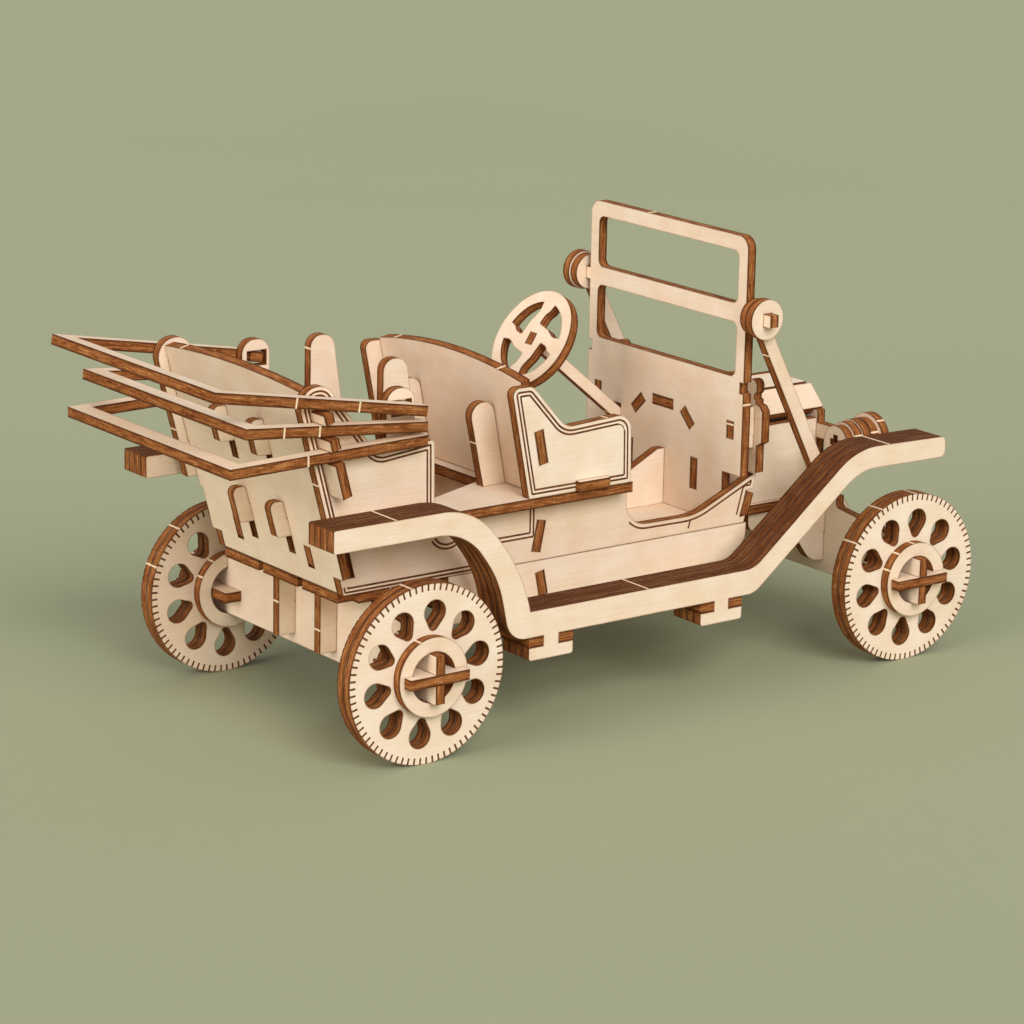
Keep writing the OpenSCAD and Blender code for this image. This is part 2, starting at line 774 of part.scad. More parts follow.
module roof_bow(k) {
    reach = bow_reach[k];
    body_frame() translate([bow_front_x, 0, bow_front_z[k]]) rotate([0, bow_tilt[k], 0])
        translate([0, 0, -ply]) linear_extrude(ply) {
            difference() {
                rect(-reach, -bow_out_y, 0, bow_out_y);
                rect(-reach + bow_bar_w, -bow_in_y, 1, bow_in_y);
            }
            if (k == 0)
                for (side = [LEFT, RIGHT])
                    rect(bow_tab_x[0] - bow_front_x, side * (upper_half_w + 0.4),
                        bow_tab_x[1] - bow_front_x, side * (bow_in_y + 1));
        }
}

// Round-topped stay on the quarter panel; a tab of the upper bow enters its hole
module roof_stay(side) {
    body_frame() on_side(side) lengthwise(upper_half_w) difference() {
        polygon(outline([
            [-2.1, 57.5, 0], [4.1, 57.5, 0], [4.1, 67.9, 2.8], [-2.1, 67.9, 2.8]
        ]));
        rect(stay_hole[0], 62.7, stay_hole[1], 65.7);
    }
}

floor_plate();
rail(LEFT);  // left_rail
rail(RIGHT);  // right_rail
rail_spacer();
rear_axle_wall();
front_axle_wall();
rear_hangers();
front_hangers();
carrier(rear_lug_x);  // rear_carrier
carrier(front_lug_x);  // front_carrier
body_side(LEFT);  // left_body_side
body_side(RIGHT);  // right_body_side
deck_plate();
seat_riser();
rear_panel();
quarter_panel(LEFT);  // left_quarter_panel
quarter_panel(RIGHT);  // right_quarter_panel
seat_rib(LEFT);  // left_seat_rib
seat_rib(RIGHT);  // right_seat_rib
tonneau_post(LEFT);  // left_tonneau_post
tonneau_post(RIGHT);  // right_tonneau_post
rear_cushion();
seat_side(LEFT);  // left_seat_side
seat_side(RIGHT);  // right_seat_side
front_seat_back();
front_cushion();
back_brace(LEFT);  // left_back_brace
back_brace(RIGHT);  // right_back_brace
windshield();
console();
toe_board();
hood_side(LEFT);  // left_hood_side
hood_side(RIGHT);  // right_hood_side
hood_top();
hood_shoulder(LEFT);  // left_hood_shoulder
hood_shoulder(RIGHT);  // right_hood_shoulder
radiator();
cowl_lamp(LEFT);  // left_cowl_lamp
cowl_lamp(RIGHT);  // right_cowl_lamp
headlamp(LEFT);  // left_headlamp
headlamp(RIGHT);  // right_headlamp
strut(LEFT);  // left_strut
strut(RIGHT);  // right_strut
strut_washer(LEFT);  // left_strut_washer
strut_washer(RIGHT);  // right_strut_washer
fender(LEFT);  // left_fender
fender(RIGHT);  // right_fender
steering_wheel();
steering_column();
roof_bow(0);  // upper_roof_bow
roof_bow(1);  // middle_roof_bow
roof_bow(2);  // lower_roof_bow
roof_stay(LEFT);  // left_roof_stay
roof_stay(RIGHT);  // right_roof_stay
wheel(LEFT, 0);  // rear_left_wheel
wheel(RIGHT, 0);  // rear_right_wheel
wheel(LEFT, front_axle_x);  // front_left_wheel
wheel(RIGHT, front_axle_x);  // front_right_wheel
wheel_keys();
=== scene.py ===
import json
import math
import random

import bmesh
import bpy
import numpy as np
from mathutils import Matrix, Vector

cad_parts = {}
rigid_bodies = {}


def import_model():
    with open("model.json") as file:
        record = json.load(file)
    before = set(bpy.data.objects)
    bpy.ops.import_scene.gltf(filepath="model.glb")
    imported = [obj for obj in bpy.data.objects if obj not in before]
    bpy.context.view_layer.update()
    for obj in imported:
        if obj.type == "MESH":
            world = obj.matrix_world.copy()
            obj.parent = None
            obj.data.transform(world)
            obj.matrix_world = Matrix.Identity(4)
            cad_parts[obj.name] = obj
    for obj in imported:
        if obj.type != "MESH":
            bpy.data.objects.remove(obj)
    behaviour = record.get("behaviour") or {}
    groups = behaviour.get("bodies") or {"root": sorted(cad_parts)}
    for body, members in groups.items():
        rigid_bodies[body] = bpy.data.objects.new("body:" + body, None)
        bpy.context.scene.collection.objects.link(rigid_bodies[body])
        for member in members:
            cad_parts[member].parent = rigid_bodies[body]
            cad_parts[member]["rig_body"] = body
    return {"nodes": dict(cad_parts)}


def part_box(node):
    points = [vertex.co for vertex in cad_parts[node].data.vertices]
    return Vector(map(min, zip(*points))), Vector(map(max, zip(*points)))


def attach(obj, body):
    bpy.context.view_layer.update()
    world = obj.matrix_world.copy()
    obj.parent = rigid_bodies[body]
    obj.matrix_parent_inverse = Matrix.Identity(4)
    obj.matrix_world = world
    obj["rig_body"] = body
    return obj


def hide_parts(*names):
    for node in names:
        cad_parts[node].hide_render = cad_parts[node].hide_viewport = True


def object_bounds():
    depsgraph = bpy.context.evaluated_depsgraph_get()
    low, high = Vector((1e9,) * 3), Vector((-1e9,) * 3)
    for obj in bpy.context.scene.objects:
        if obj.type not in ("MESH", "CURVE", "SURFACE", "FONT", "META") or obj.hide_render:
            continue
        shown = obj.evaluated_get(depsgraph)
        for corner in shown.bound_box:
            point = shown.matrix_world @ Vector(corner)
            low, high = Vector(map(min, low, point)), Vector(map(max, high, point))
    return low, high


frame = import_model()
cad_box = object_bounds()

MM = 0.001
SEED = 20
FACE, CUT, ENGRAVED = 0, 1, 2

# Laser marks
SCORCH_W = 0.28 * MM
LINE_W = 0.4 * MM
LINE_DEPTH = 0.12 * MM
PANEL_INSETS = (0.85 * MM, 1.6 * MM)
CORNER_INSETS = (0.5 * MM, 1.25 * MM)
FOOTWELL_INSET = 0.9 * MM
ARC_RADII = (3.55 * MM, 4.35 * MM)
TICKS_PER_WHEEL = 76
TICK_REACH = (0.925, 1.01)

# Stubs where the pieces were broken out of their sheets
BREAK_W = 0.3 * MM
BREAK_RISE = 0.07 * MM
BREAK_STEP = 0.1 * MM
MANY_BREAKS = ("wheel", "bow", "seat_side", "quarter_panel", "seat_back", "rear_panel", "windshield",
               "strut")
FENDER_BREAKS = [(-7, 46.8), (51, 25), (110.8, 45.3), (40, 20), (88, 28)]

# A vertex nearer than this to a depth counts as being at that depth
DEPTH_TOLERANCE = 0.01 * MM

# Cosines above which a polygon faces along its ply's normal, and two plies are parallel
FACING = 0.98
PARALLEL = 0.99

# Plies closer than this are laminated together
GLUE_GAP = 0.1 * MM

# Spacing of the points along a border line
BORDER_STEP = 0.25 * MM

GROUND_Z = cad_box[0][2]
wheel_low, wheel_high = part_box("rear_left_wheel")
REAR_AXLE = (wheel_low + wheel_high) / 2
WHEEL_R = (wheel_high.z - wheel_low.z) / 2


# ---------- flat outlines ----------

def unit(v):
    return v / np.linalg.norm(v)


def islands(mesh):
    """Vertex indices of each separate ply in the mesh."""
    parent = list(range(len(mesh.vertices)))

    def root(i):
        while parent[i] != i:
            parent[i] = parent[parent[i]]
            i = parent[i]
        return i

    for edge in mesh.edges:
        a, b = (root(i) for i in edge.vertices)
        parent[a] = b
    groups = {}
    for i in range(len(parent)):
        groups.setdefault(root(i), []).append(i)
    return sorted(groups.values())


class Ply:
    """One flat ply: its normal, its grain direction and its two faces."""

    def __init__(self, mesh, vertices):
        self.vertices = np.array(vertices)
        inside = set(vertices)
        self.polygons = [p for p in mesh.polygons if p.vertices[0] in inside]
        areas = {}
        for p in self.polygons:
            n = np.array(p.normal)
            n = n * np.sign(n[np.abs(n).argmax()])
            key = tuple(np.round(n, 2))
            area, total = areas.get(key, (0, 0))
            areas[key] = (area + p.area, total + n * p.area)
        self.normal = unit(max(areas.values(), key=lambda pair: pair[0])[1])
        along = np.array([1.0, 0, 0]) if abs(self.normal[0]) < 0.7 else np.array([0, 1.0, 0])
        self.grain = unit(along - self.normal * along.dot(self.normal))
        self.side = np.cross(self.normal, self.grain)
        self.co = np.array([mesh.vertices[i].co for i in vertices])
        depth = self.co @ self.normal
        self.middle = (depth.min() + depth.max()) / 2
        self.half = (depth.max() - depth.min()) / 2

    def touches(self, other):
        """Whether the other ply lies against this one, on the side the normal points to."""
        rise = other.middle - self.middle
        parallel = abs(self.normal.dot(other.normal)) > PARALLEL
        return parallel and 0 < rise < self.half + other.half + GLUE_GAP

    def flat(self, co):
        """Points in the ply's own coordinates: along the grain, across it, and through the ply."""
        return np.stack([co @ self.grain, co @ self.side, co @ self.normal - self.middle], -1)

    def world(self, points, depth):
        """Flat points at a distance from the ply's middle, back in the frame."""
        points = np.asarray(points)
        return points[:, :1] * self.grain + points[:, 1:2] * self.side + (depth + self.middle) * self.normal


def outlines(mesh, ply, sign):
    """Closed outlines of the ply's face on one side, longest first, each with the wood on its left."""
    following = {}
    for p in ply.polygons:
        if np.array(p.normal).dot(ply.normal) * sign > FACING:
            loop = list(p.vertices)
            for a, b in zip(loop, loop[1:] + loop[:1]):
                if following.get(b) and a in following[b]:
                    following[b].remove(a)
                else:
                    following.setdefault(a, []).append(b)
    loops = []
    while any(following.values()):
        start = next(a for a, found in following.items() if found)
        loop, here = [], start
        while following.get(here):
            loop.append(here)
            here = following[here].pop()
        loops.append(ply.flat(np.array([mesh.vertices[i].co for i in loop]))[:, :2] * [1, sign])
    return sorted(loops, key=lambda points: -length_of(points))


def length_of(points):
    return np.linalg.norm(np.roll(points, -1, 0) - points, axis=1).sum()


def resampled(points, step):
    """Closed outline with a point about every step."""
    found = []
    for a, b in zip(points, np.roll(points, -1, 0)):
        count = max(1, round(np.linalg.norm(b - a) / step))
        found += [a + (b - a) * i / count for i in range(count)]
    return np.array(found)


def distance_to(points, outline):
    """Shortest distance from each point to the closed outline."""
    a, b = outline, np.roll(outline, -1, 0)
    along = b - a
    size = np.maximum((along ** 2).sum(1), 1e-18)
    best = np.full(len(points), np.inf)
    for start in range(0, len(points), 500):
        part = points[start:start + 500, None, :] - a[None]
        t = np.clip((part * along[None]).sum(2) / size[None], 0, 1)
        gap = np.linalg.norm(part - t[..., None] * along[None], axis=2).min(1)
        best[start:start + 500] = gap
    return best


def inset_line(outline, distance):
    """Points at a distance inside the outline, without those that come nearer to it elsewhere."""
    following = np.roll(outline, -1, 0)
    angles = [math.atan2(*(b - a)[::-1]) for a, b in zip(outline, following)]
    line = []
    for a, b, angle, next_angle in zip(outline, following, angles, angles[1:] + angles[:1]):
        inward = np.array([-math.sin(angle), math.cos(angle)])
        count = max(1, round(np.linalg.norm(b - a) / BORDER_STEP))
        line += [a + (b - a) * i / count + distance * inward for i in range(count + 1)]
        turn = (next_angle - angle + math.pi) % (2 * math.pi) - math.pi
        if turn < -0.2:
            swing = [angle + turn * i / 6 for i in range(1, 6)]
            line += [b + distance * np.array([-math.sin(step), math.cos(step)]) for step in swing]
    line = np.array(line)
    line = line[distance_to(line, outline) > distance * 0.985]
    return line[np.linalg.norm(np.roll(line, -1, 0) - line, axis=1) > 0.02 * MM]


# ---------- laser marks ----------

def prism(bm, ply, ring, low, high):
    """Closed prism over a flat ring of points, between two depths."""
    area = sum(a[0] * b[1] - b[0] * a[1] for a, b in zip(ring, np.roll(ring, -1, 0)))
    ring = ring if area > 0 else ring[::-1]
    bottom = [bm.verts.new(co) for co in ply.world(ring, low)]
    top = [bm.verts.new(co) for co in ply.world(ring, high)]
    count = len(ring)
    for i in range(count):
        j = (i + 1) % count
        bm.faces.new((bottom[i], bottom[j], top[j], top[i]))
    bm.faces.new(top)
    bm.faces.new(bottom[::-1])


def groove(bm, ply, sign, line, closed):
    """Cutter that leaves a shallow groove along a line on one face of the ply."""
    line = np.asarray(line) * [1, sign]
    if closed:
        tangent = np.roll(line, -1, 0) - np.roll(line, 1, 0)
    else:
        tangent = np.gradient(line, axis=0)
    tangent /= np.linalg.norm(tangent, axis=1)[:, None]
    across = np.stack([-tangent[:, 1], tangent[:, 0]], -1) * LINE_W / 2
    low, high = sorted((sign * (ply.half - LINE_DEPTH), sign * (ply.half + 0.2 * MM)))
    rows = [ply.world(line - across, low), ply.world(line + across, low),
            ply.world(line + across, high), ply.world(line - across, high)]
    rows = [[bm.verts.new(co) for co in row] for row in rows]
    count = len(line)
    for i in range(count if closed else count - 1):
        j = (i + 1) % count
        for k in range(4):
            m = (k + 1) % 4
            bm.faces.new((rows[m][i], rows[m][j], rows[k][j], rows[k][i]))
    if not closed:
        bm.faces.new([rows[k][0] for k in range(3, -1, -1)])
        bm.faces.new([rows[k][-1] for k in range(4)])


def runs(line, closed_gap=1.0 * MM):
    """Splits a line wherever two neighbouring points are far apart."""
    gaps = np.linalg.norm(np.roll(line, -1, 0) - line, axis=1) > closed_gap
    if not gaps.any():
        return [(line, True)]
    first = int(gaps.argmax()) + 1
    line, gaps = np.roll(line, -first, 0), np.roll(gaps, -first)
    pieces = np.split(line, np.nonzero(gaps)[0] + 1)
    return [(piece, False) for piece in pieces if len(piece) > 3]


def border_cutter(bm, mesh, ply, sign, insets, keep=None, notch=None):
    """Border lines that follow the outline of one face, and run straight past a notch."""
    outer = outlines(mesh, ply, sign)[0]
    if notch is not None:
        world = ply.world(outer * [1, sign], 0)
        outer = outer[[not notch(co) for co in world]]
    for inset in insets:
        line = inset_line(outer, inset)
        if keep is not None:
            world = ply.world(line * [1, sign], 0)
            line = line[[keep(co) for co in world]]
        for piece, closed in runs(line):
            groove(bm, ply, sign, piece, closed)


def tick_cutter(bm, ply, sign, centre):
    """Radial ticks round the rim of a wheel ply."""
    middle = ply.flat(np.array([centre]))[0, :2]
    for i in range(TICKS_PER_WHEEL):
        angle = 2 * math.pi * i / TICKS_PER_WHEEL
        out = np.array([math.cos(angle), math.sin(angle)])
        reach = np.linspace(*TICK_REACH, 3)[:, None] * WHEEL_R
        groove(bm, ply, sign, (middle + reach * out) * [1, sign], False)


def straight_cutter(bm, ply, sign, start, end):
    """One straight line between two points of the frame."""
    ends = ply.flat(np.array([start, end]))[:, :2] * [1, sign]
    line = ends[0] + np.linspace(0, 1, 4)[:, None] * (ends[1] - ends[0])
    groove(bm, ply, sign, line, False)


def arc_cutter(bm, ply, sign, centre, radius, start, end):
    """Part of a circle about a point of the frame, between two angles in degrees."""
    angles = np.radians(np.linspace(start, end, 15))
    arc = centre + radius * np.stack([np.cos(angles), 0 * angles, np.sin(angles)], -1)
    groove(bm, ply, sign, ply.flat(arc)[:, :2] * [1, sign], False)


def at(x, z):
    """Point given in millimetres ahead of the rear axle and above the ground."""
    return np.array([REAR_AXLE.x + x * MM, 0.0, z * MM])


def outer_side(node):
    return 1 if "left" in node else -1


def engrave_wheel(node, bm, plies):
    """Ticks on the outside of both rim plies."""
    rim_plies = [p for p in plies if np.ptp(p.co[:, 2]) > 1.9 * WHEEL_R]
    rim_plies.sort(key=lambda p: p.middle)
    centre = (np.array(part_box(node)[0]) + np.array(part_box(node)[1])) / 2
    tick_cutter(bm, rim_plies[0], -1, centre)
    tick_cutter(bm, rim_plies[-1], 1, centre)


def in_tab_notch(co):
    """Whether a point is in the notch that a seat side has for the deck's tab."""
    return at(41, 0)[0] < co[0] < at(49, 0)[0] and co[2] < 46 * MM


def by_footwell(co):
    return co[0] > at(57.5, 0)[0] and co[2] > 31.2 * MM


def by_rear_corner(co):
    return co[0] < at(25, 0)[0] and co[2] < 31.2 * MM


def engrave_body_side(bm, mesh, ply, sign):
    """Border by the footwell, the panel lines below the seat, and the marks by the rear wheel."""
    border_cutter(bm, mesh, ply, sign, (FOOTWELL_INSET,), by_footwell)
    for x, z in ((33.8, 35.1), (34.6, 34.3)):
        straight_cutter(bm, ply, sign, at(x, z), at(x, 40.5))
        straight_cutter(bm, ply, sign, at(x, z), at(19, z))
    straight_cutter(bm, ply, sign, at(72.3, 30.3), at(72.9, 32.1))
    border_cutter(bm, mesh, ply, sign, CORNER_INSETS, by_rear_corner)
    for radius in ARC_RADII:
        arc_cutter(bm, ply, sign, at(14.8, 39.3), radius, 214, 326)


def engrave(node, bm, mesh, plies):
    """Adds the cutters for everything the laser draws on a node."""
    if node.endswith(("left_wheel", "right_wheel")):
        engrave_wheel(node, bm, plies)
        return
    ply = plies[0]
    sign = outer_side(node) if ply.normal[1] > 0 else -outer_side(node)
    if node.endswith(("seat_side", "quarter_panel")):
        border_cutter(bm, mesh, ply, sign, PANEL_INSETS, notch=in_tab_notch)
    if node.endswith("body_side"):
        engrave_body_side(bm, mesh, ply, sign)


# ---------- pieces ----------

def visible_mesh(node):
    """Copy of a CAD node's mesh with its doubled vertices merged."""
    bm = bmesh.new()
    bm.from_mesh(frame["nodes"][node].data)
    bmesh.ops.remove_doubles(bm, verts=bm.verts, dist=2e-6)
    mesh = bpy.data.meshes.new(node)
    bm.to_mesh(mesh)
    bm.free()
    imported_normals = mesh.attributes.get("custom_normal")
    if imported_normals:
        mesh.attributes.remove(imported_normals)
    return mesh


def add_rim(mesh):
    """Gives each face a narrow rim for the scorch to fade across."""
    plies = [Ply(mesh, group) for group in islands(mesh)]
    faces = [p.index for ply in plies for p in ply.polygons
             if abs(np.array(p.normal).dot(ply.normal)) > FACING]
    bm = bmesh.new()
    bm.from_mesh(mesh)
    bm.faces.ensure_lookup_table()
    bmesh.ops.inset_region(bm, faces=[bm.faces[i] for i in faces], thickness=SCORCH_W,
                           use_boundary=True, use_even_offset=True)
    bm.to_mesh(mesh)
    bm.free()
    mesh.update()


def cut_marks(obj, cutter_bm):
    """Cuts the engraved grooves out of the piece."""
    cutter_mesh = bpy.data.meshes.new("cutter")
    cutter_bm.to_mesh(cutter_mesh)
    cutter = bpy.data.objects.new("cutter", cutter_mesh)
    bpy.context.scene.collection.objects.link(cutter)
    modifier = obj.modifiers.new("engraving", "BOOLEAN")
    modifier.object = cutter
    modifier.operation = "DIFFERENCE"
    modifier.solver = "EXACT"
    modifier.use_self = True
    graph = bpy.context.evaluated_depsgraph_get()
    result = bpy.data.meshes.new_from_object(obj.evaluated_get(graph))
    obj.modifiers.clear()
    obj.data = result
    bpy.data.objects.remove(cutter)


def paint(mesh, outline_sets, burn, rng):
    """Sorts the faces into materials and stores what the materials need to know."""
    count = len(mesh.vertices)
    grain = np.zeros((count, 3), np.float32)
    across = np.zeros(count, np.float32)
    scorch = np.zeros(count, np.float32)
    tone = np.zeros(count, np.float32)
    seam = np.zeros(count, np.float32)
    plies = [Ply(mesh, group) for group in islands(mesh)]
    for ply in plies:
        flat = ply.flat(ply.co)
        shift = np.array([rng.uniform(-400, 400), rng.uniform(-400, 400), 0])
        grain[ply.vertices] = flat / MM + shift
        across[ply.vertices] = flat[:, 2] / ply.half
        tone[ply.vertices] = rng.random()
        seam[ply.vertices] = any(ply.touches(other) for other in plies)
        borders = [loop for key, loops in outline_sets for loop in loops
                   if abs(key[0].dot(ply.normal)) > PARALLEL
                   and abs(abs(key[1]) - abs(ply.middle)) < 0.2 * MM]
        gaps = np.full(len(flat), np.inf)
        for loop in borders:
            gaps = np.minimum(gaps, distance_to(flat[:, :2], loop))
        scorch[ply.vertices] = np.clip(1 - gaps / SCORCH_W, 0, 1)
        lookup = dict(zip(ply.vertices.tolist(), flat[:, 2]))
        for p in ply.polygons:
            depth = sorted(lookup[i] for i in p.vertices)
            inner = max(depth[0], -depth[-1])
            if inner > ply.half - DEPTH_TOLERANCE:
                p.material_index = FACE
            elif inner > ply.half - LINE_DEPTH - DEPTH_TOLERANCE:
                p.material_index = ENGRAVED
            else:
                p.material_index = CUT
    burns = np.full(count, burn, np.float32)
    for name, kind, values in (("grain", "FLOAT_VECTOR", grain), ("across", "FLOAT", across),
                               ("scorch", "FLOAT", scorch), ("tone", "FLOAT", tone),
                               ("seam", "FLOAT", seam), ("burn", "FLOAT", burns)):
        attribute = mesh.attributes.new(name, kind, "POINT")
        attribute.data.foreach_set("vector" if kind == "FLOAT_VECTOR" else "value", values.ravel())
    mesh.polygons.foreach_set("use_smooth", [True] * len(mesh.polygons))
    mesh.set_sharp_from_angle(angle=math.radians(32))


def build_piece(node, materials, rng):
    """Makes the visible piece that stands in for a CAD node."""
    mesh = visible_mesh(node)
    plies = [Ply(mesh, group) for group in islands(mesh)]
    outline_sets = [((ply.normal, ply.middle), outlines(mesh, ply, 1)) for ply in plies]
    cutter = bmesh.new()
    engrave(node, cutter, mesh, plies)
    add_rim(mesh)
    obj = bpy.data.objects.new("ply_" + node, mesh)
    bpy.context.scene.collection.objects.link(obj)
    if cutter.verts:
        cut_marks(obj, cutter)
    cutter.free()
    obj.data.materials.clear()
    for material in materials:
        obj.data.materials.append(material)
    paint(obj.data, outline_sets, 1.0 if node.endswith("fender") else 0.0, rng)
    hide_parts(node)
    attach(obj, frame["nodes"][node]["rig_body"])


# ---------- materials ----------

class Nodes:
    """Short way to write a node tree."""

    def __init__(self, name):
        self.material = bpy.data.materials.new(name)
        self.material.use_nodes = True
        self.tree = self.material.node_tree
        self.shader = self.tree.nodes["Principled BSDF"]
        self.shader.inputs["Specular IOR Level"].default_value = 0.25

    def add(self, kind, inputs=None, **settings):
        made = self.tree.nodes.new(kind)
        for key, value in settings.items():
            setattr(made, key, value)
        for key, value in (inputs or {}).items():
            self.put(made.inputs[key], value)
        return made

    def put(self, socket, value):
        if isinstance(value, bpy.types.NodeSocket):
            self.tree.links.new(value, socket)
        else:
            socket.default_value = value

    def attribute(self, name, output="Fac"):
        return self.add("ShaderNodeAttribute", attribute_name=name).outputs[output]

    def stretch(self, vector, scale):
        made = self.add("ShaderNodeVectorMath", {0: vector, 1: scale}, operation="MULTIPLY")
        return made.outputs["Vector"]

    def noise(self, vector, scale, detail=4.0, roughness=0.55, distortion=0.0):
        made = self.add("ShaderNodeTexNoise", {"Vector": vector, "Scale": scale, "Detail": detail,
                                               "Roughness": roughness, "Distortion": distortion})
        return made.outputs["Fac"]

    def math(self, operation, a, b=0.0):
        return self.add("ShaderNodeMath", {0: a, 1: b}, operation=operation).outputs[0]

    def ramp(self, fac, stops):
        made = self.add("ShaderNodeValToRGB", {"Fac": fac})
        elements = made.color_ramp.elements
        while len(elements) < len(stops):
            elements.new(0.5)
        for element, (place, color) in zip(elements, stops):
            element.position = place
            element.color = (*color, 1)
        return made.outputs["Color"]

    def mix(self, fac, a, b, blend="MIX"):
        made = self.add("ShaderNodeMix", data_type="RGBA", blend_type=blend)
        self.put(made.inputs[0], fac)
        self.put(made.inputs[6], a)
        self.put(made.inputs[7], b)
        return made.outputs[2]

    def finish(self, color, roughness, height, distance, strength=0.6):
        self.put(self.shader.inputs["Base Color"], color)
        self.put(self.shader.inputs["Roughness"], roughness)
        bump = self.add("ShaderNodeBump", {"Height": height, "Distance": distance, "Strength": strength})
        self.put(self.shader.inputs["Normal"], bump.outputs["Normal"])
        return self.material


def srgb(red, green, blue):
    """Linear colour from an 8-bit screen colour."""
    return tuple(((c / 255 + 0.055) / 1.055) ** 2.4 if c > 10 else c / 255 / 12.92
                 for c in (red, green, blue))


def face_material():
    n = Nodes("basswood_face")
    grain = n.attribute("grain", "Vector")
    fibre = n.noise(n.stretch(grain, (0.10, 3.2, 1.0)), 1.0, detail=6.0, roughness=0.65)
    figure = n.noise(n.stretch(grain, (0.03, 0.35, 1.0)), 1.0, detail=3.0, distortion=0.4)
    mottle = n.noise(grain, 0.16, detail=3.0)
    wood = n.ramp(fibre, [(0.25, srgb(233, 212, 188)), (0.5, srgb(242, 225, 205)),
                          (0.75, srgb(248, 235, 218))])
    wood = n.mix(n.math("MULTIPLY", figure, 0.4), wood, (*srgb(235, 210, 184), 1))
    warm = n.ramp(mottle, [(0.35, srgb(245, 231, 214)), (0.65, srgb(255, 255, 255))])
    wood = n.mix(0.5, wood, warm, "MULTIPLY")
    tone = n.ramp(n.attribute("tone"), [(0.0, srgb(246, 236, 224)), (1.0, srgb(255, 255, 253))])
    wood = n.mix(0.6, wood, tone, "MULTIPLY")
    smoke = n.math("POWER", n.attribute("scorch"), 1.8)
    smoke = n.math("MULTIPLY", smoke, n.math("ADD", n.noise(grain, 0.6), 0.3))
    wood = n.mix(smoke, wood, (*srgb(142, 88, 48), 1))
    roughness = n.math("ADD", n.math("MULTIPLY", fibre, 0.25), 0.5)
    return n.finish(wood, roughness, fibre, 0.00006, 0.35)


def cut_material():
    n = Nodes("burnt_cut_edge")
    grain = n.attribute("grain", "Vector")
    across = n.attribute("across")
    layers = n.noise(n.stretch(grain, (0.25, 0.25, 2.8)), 1.0, detail=5.0, roughness=0.65, distortion=0.9)
    patches = n.noise(grain, 0.2, detail=3.0)
    pulses = n.noise(n.stretch(grain, (4.0, 4.0, 0.3)), 1.0, detail=3.0)
    burnt = n.ramp(layers, [(0.34, srgb(100, 53, 25)), (0.5, srgb(165, 102, 54)),
                            (0.66, srgb(214, 154, 94))])
    burnt = n.mix(n.math("MULTIPLY", patches, 0.55), burnt, (*srgb(112, 60, 29), 1))
    normal = n.add("ShaderNodeNewGeometry").outputs["Normal"]
    upward = n.add("ShaderNodeSeparateXYZ", {0: normal}).outputs["Z"]
    sooty = n.ramp(upward, [(0.1, (0, 0, 0)), (0.6, (0.66, 0.66, 0.66))])
    sooty = n.math("MULTIPLY", sooty, n.attribute("burn"))
    burnt = n.mix(sooty, burnt, (*srgb(70, 38, 22), 1))
    ribs = n.ramp(pulses, [(0.35, srgb(160, 120, 90)), (0.65, srgb(255, 252, 246))])
    burnt = n.mix(0.35, burnt, ribs, "MULTIPLY")
    rim = n.ramp(n.math("ABSOLUTE", across), [(0.5, (0, 0, 0)), (0.92, (1, 1, 1))])
    burnt = n.mix(n.math("MULTIPLY", rim, 0.9), burnt, (*srgb(62, 30, 14), 1))
    line = n.ramp(across, [(0.92, (0, 0, 0)), (0.95, (1, 1, 1))])
    line = n.math("MULTIPLY", line, n.attribute("seam"))
    here = n.ramp(n.noise(n.stretch(grain, (0.05, 0.05, 0.9)), 1.0), [(0.45, (0, 0, 0)), (0.56, (1, 1, 1))])
    burnt = n.mix(n.math("MULTIPLY", line, here), burnt, (*srgb(216, 170, 128), 1))
    roughness = n.math("ADD", n.math("MULTIPLY", pulses, 0.2), 0.65)
    n.shader.inputs["Specular IOR Level"].default_value = 0.08
    return n.finish(burnt, roughness, pulses, 0.00008, 0.4)


def engraved_material():
    n = Nodes("engraved_line")
    place = n.add("ShaderNodeTexCoord").outputs["Object"]
    char = n.noise(place, 900.0, detail=3.0)
    burnt = n.ramp(char, [(0.3, srgb(84, 45, 23)), (0.7, srgb(132, 80, 45))])
    return n.finish(burnt, 0.7, char, 0.00005)


def pale_material():
    n = Nodes("unburnt_break")
    place = n.add("ShaderNodeTexCoord").outputs["Object"]
    fibre = n.noise(place, 2500.0, detail=3.0)
    wood = n.ramp(fibre, [(0.3, srgb(226, 196, 156)), (0.7, srgb(246, 228, 200))])
    return n.finish(wood, 0.75, fibre, 0.00008)


def floor_material():
    n = Nodes("pale_floor")
    place = n.add("ShaderNodeTexCoord").outputs["Object"]
    paper = n.noise(place, 3.0, detail=5.0)
    fine = n.noise(place, 900.0, detail=2.0)
    color = n.ramp(paper, [(0.3, srgb(157, 162, 131)), (0.7, srgb(160, 165, 134))])
    return n.finish(color, 0.9, fine, 0.0001, 0.1)


# ---------- break marks ----------

def break_mark(bm, ply, outline, start):
    """Pale stub across the cut edge, where the piece was broken out of its sheet."""
    points = resampled(outline, BREAK_STEP)
    i = int(start * len(points)) % len(points)
    tangent = unit(points[(i + 2) % len(points)] - points[i - 2])
    out = np.array([tangent[1], -tangent[0]])
    half = BREAK_W / 2
    root = 0.05 * MM
    ring = points[i] + np.array([
        -tangent * half * 1.6 - out * root,
        -tangent * half + out * BREAK_RISE,
        tangent * half * 0.8 + out * BREAK_RISE * 0.8,
        tangent * half * 1.5 - out * root,
    ])
    prism(bm, ply, ring, -ply.half * 0.98, ply.half * 0.98)


def nearest_start(outline, place):
    """How far round the outline, from 0 to 1, the point nearest to place is."""
    points = resampled(outline, BREAK_STEP)
    return np.linalg.norm(points - place, axis=1).argmin() / len(points)


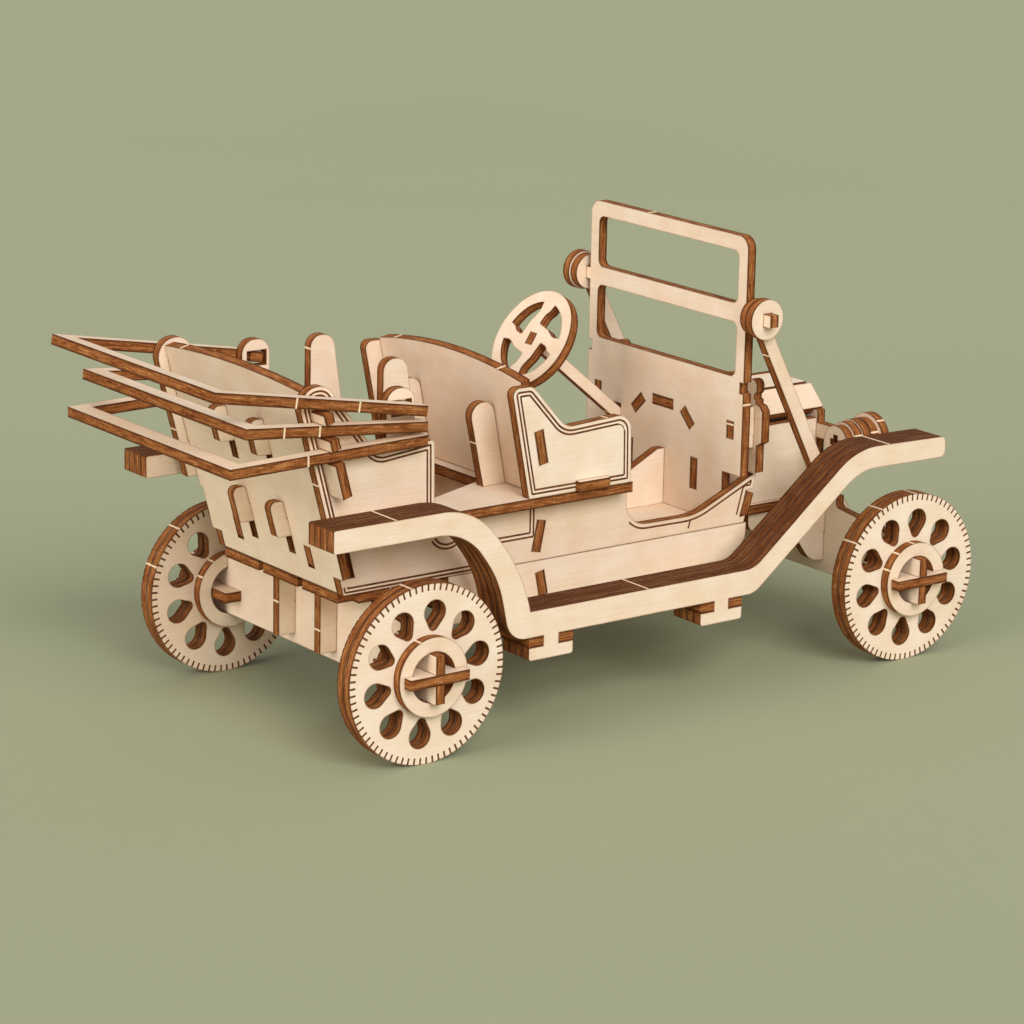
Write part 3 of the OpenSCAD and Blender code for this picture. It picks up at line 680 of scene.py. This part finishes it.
def add_breaks(node, body_meshes, rng):
    """Adds a node's break marks to the mesh of the body it belongs to."""
    mesh = visible_mesh(node)
    bm = body_meshes.setdefault(frame["nodes"][node]["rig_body"], bmesh.new())
    starts = [rng.random() for _ in range(3 if node.endswith(MANY_BREAKS) else 1)]
    for group in islands(mesh):
        ply = Ply(mesh, group)
        outer = outlines(mesh, ply, 1)[0]
        if node.endswith("fender"):
            places = ply.flat(np.array([at(x, z) for x, z in FENDER_BREAKS]))[:, :2]
            starts = [nearest_start(outer, place) for place in places]
        for start in starts:
            break_mark(bm, ply, outer, start)


def finish_breaks(body_meshes):
    """Makes one piece of each body's break marks."""
    pale = pale_material()
    for body, bm in body_meshes.items():
        mesh = bpy.data.meshes.new("breaks_" + body)
        bm.to_mesh(mesh)
        bm.free()
        mesh.materials.append(pale)
        piece = bpy.data.objects.new("breaks_" + body, mesh)
        bpy.context.scene.collection.objects.link(piece)
        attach(piece, body)


# ---------- light, floor and camera ----------

def direction(azimuth, elevation):
    """Unit vector towards a viewer or light, in degrees, where azimuth 0 is -Y and 90 is +X."""
    a, e = math.radians(azimuth), math.radians(elevation)
    return Vector((math.sin(a) * math.cos(e), -math.cos(a) * math.cos(e), math.sin(e)))


def soft_sun(name, azimuth, elevation, strength, color):
    """Broad distant light."""
    light = bpy.data.lights.new(name, "SUN")
    light.angle = math.radians(35)
    light.energy = strength
    light.color = color
    source = direction(azimuth, elevation)
    obj = bpy.data.objects.new(name, light)
    obj.location = source
    obj.rotation_euler = source.to_track_quat("Z", "Y").to_euler()
    bpy.context.scene.collection.objects.link(obj)


def add_floor():
    """Plain floor far wider than the object."""
    bm = bmesh.new()
    bmesh.ops.create_grid(bm, x_segments=24, y_segments=24, size=4.0)
    mesh = bpy.data.meshes.new("floor")
    bm.to_mesh(mesh)
    bm.free()
    floor = bpy.data.objects.new("floor", mesh)
    floor.location.z = GROUND_Z
    mesh.materials.append(floor_material())
    bpy.context.scene.collection.objects.link(floor)


def add_camera():
    """Three quarters from behind on the right, and a little above."""
    roll = math.radians(1.12)
    distance = 715.5
    target = REAR_AXLE + Vector((45.4, 0, 15.7)) * MM
    target.y = 0.2 * MM
    back = direction(-36.9, 15)
    data = bpy.data.cameras.new("camera")
    data.lens = 129.5
    data.sensor_width = 36
    data.clip_start = 0.01
    camera = bpy.data.objects.new("camera", data)
    camera.location = target + back * distance * MM
    turn = back.to_track_quat("Z", "Y").to_matrix()
    camera.rotation_euler = (turn @ turn.Rotation(roll, 3, "Z")).to_euler()
    bpy.context.scene.collection.objects.link(camera)
    bpy.context.scene.camera = camera


def add_light():
    """Even studio light: a pale surround, a key from the viewer's right and a fill from the rear."""
    world = bpy.data.worlds.new("studio")
    world.use_nodes = True
    background = world.node_tree.nodes["Background"]
    background.inputs["Color"].default_value = (1.0, 0.98, 0.95, 1)
    background.inputs["Strength"].default_value = 0.5
    bpy.context.scene.world = world
    soft_sun("key", -12, 34, 2.25, (1.0, 0.98, 0.97))
    soft_sun("fill", -85, 18, 1.55, (1.0, 0.95, 0.92))


# ---------- scene ----------

rng = random.Random(SEED)
materials = [face_material(), cut_material(), engraved_material()]
break_meshes = {}
for node in sorted(frame["nodes"]):
    build_piece(node, materials, rng)
    add_breaks(node, break_meshes, rng)
finish_breaks(break_meshes)

add_floor()
add_light()
add_camera()
bpy.context.scene.view_settings.view_transform = "Standard"
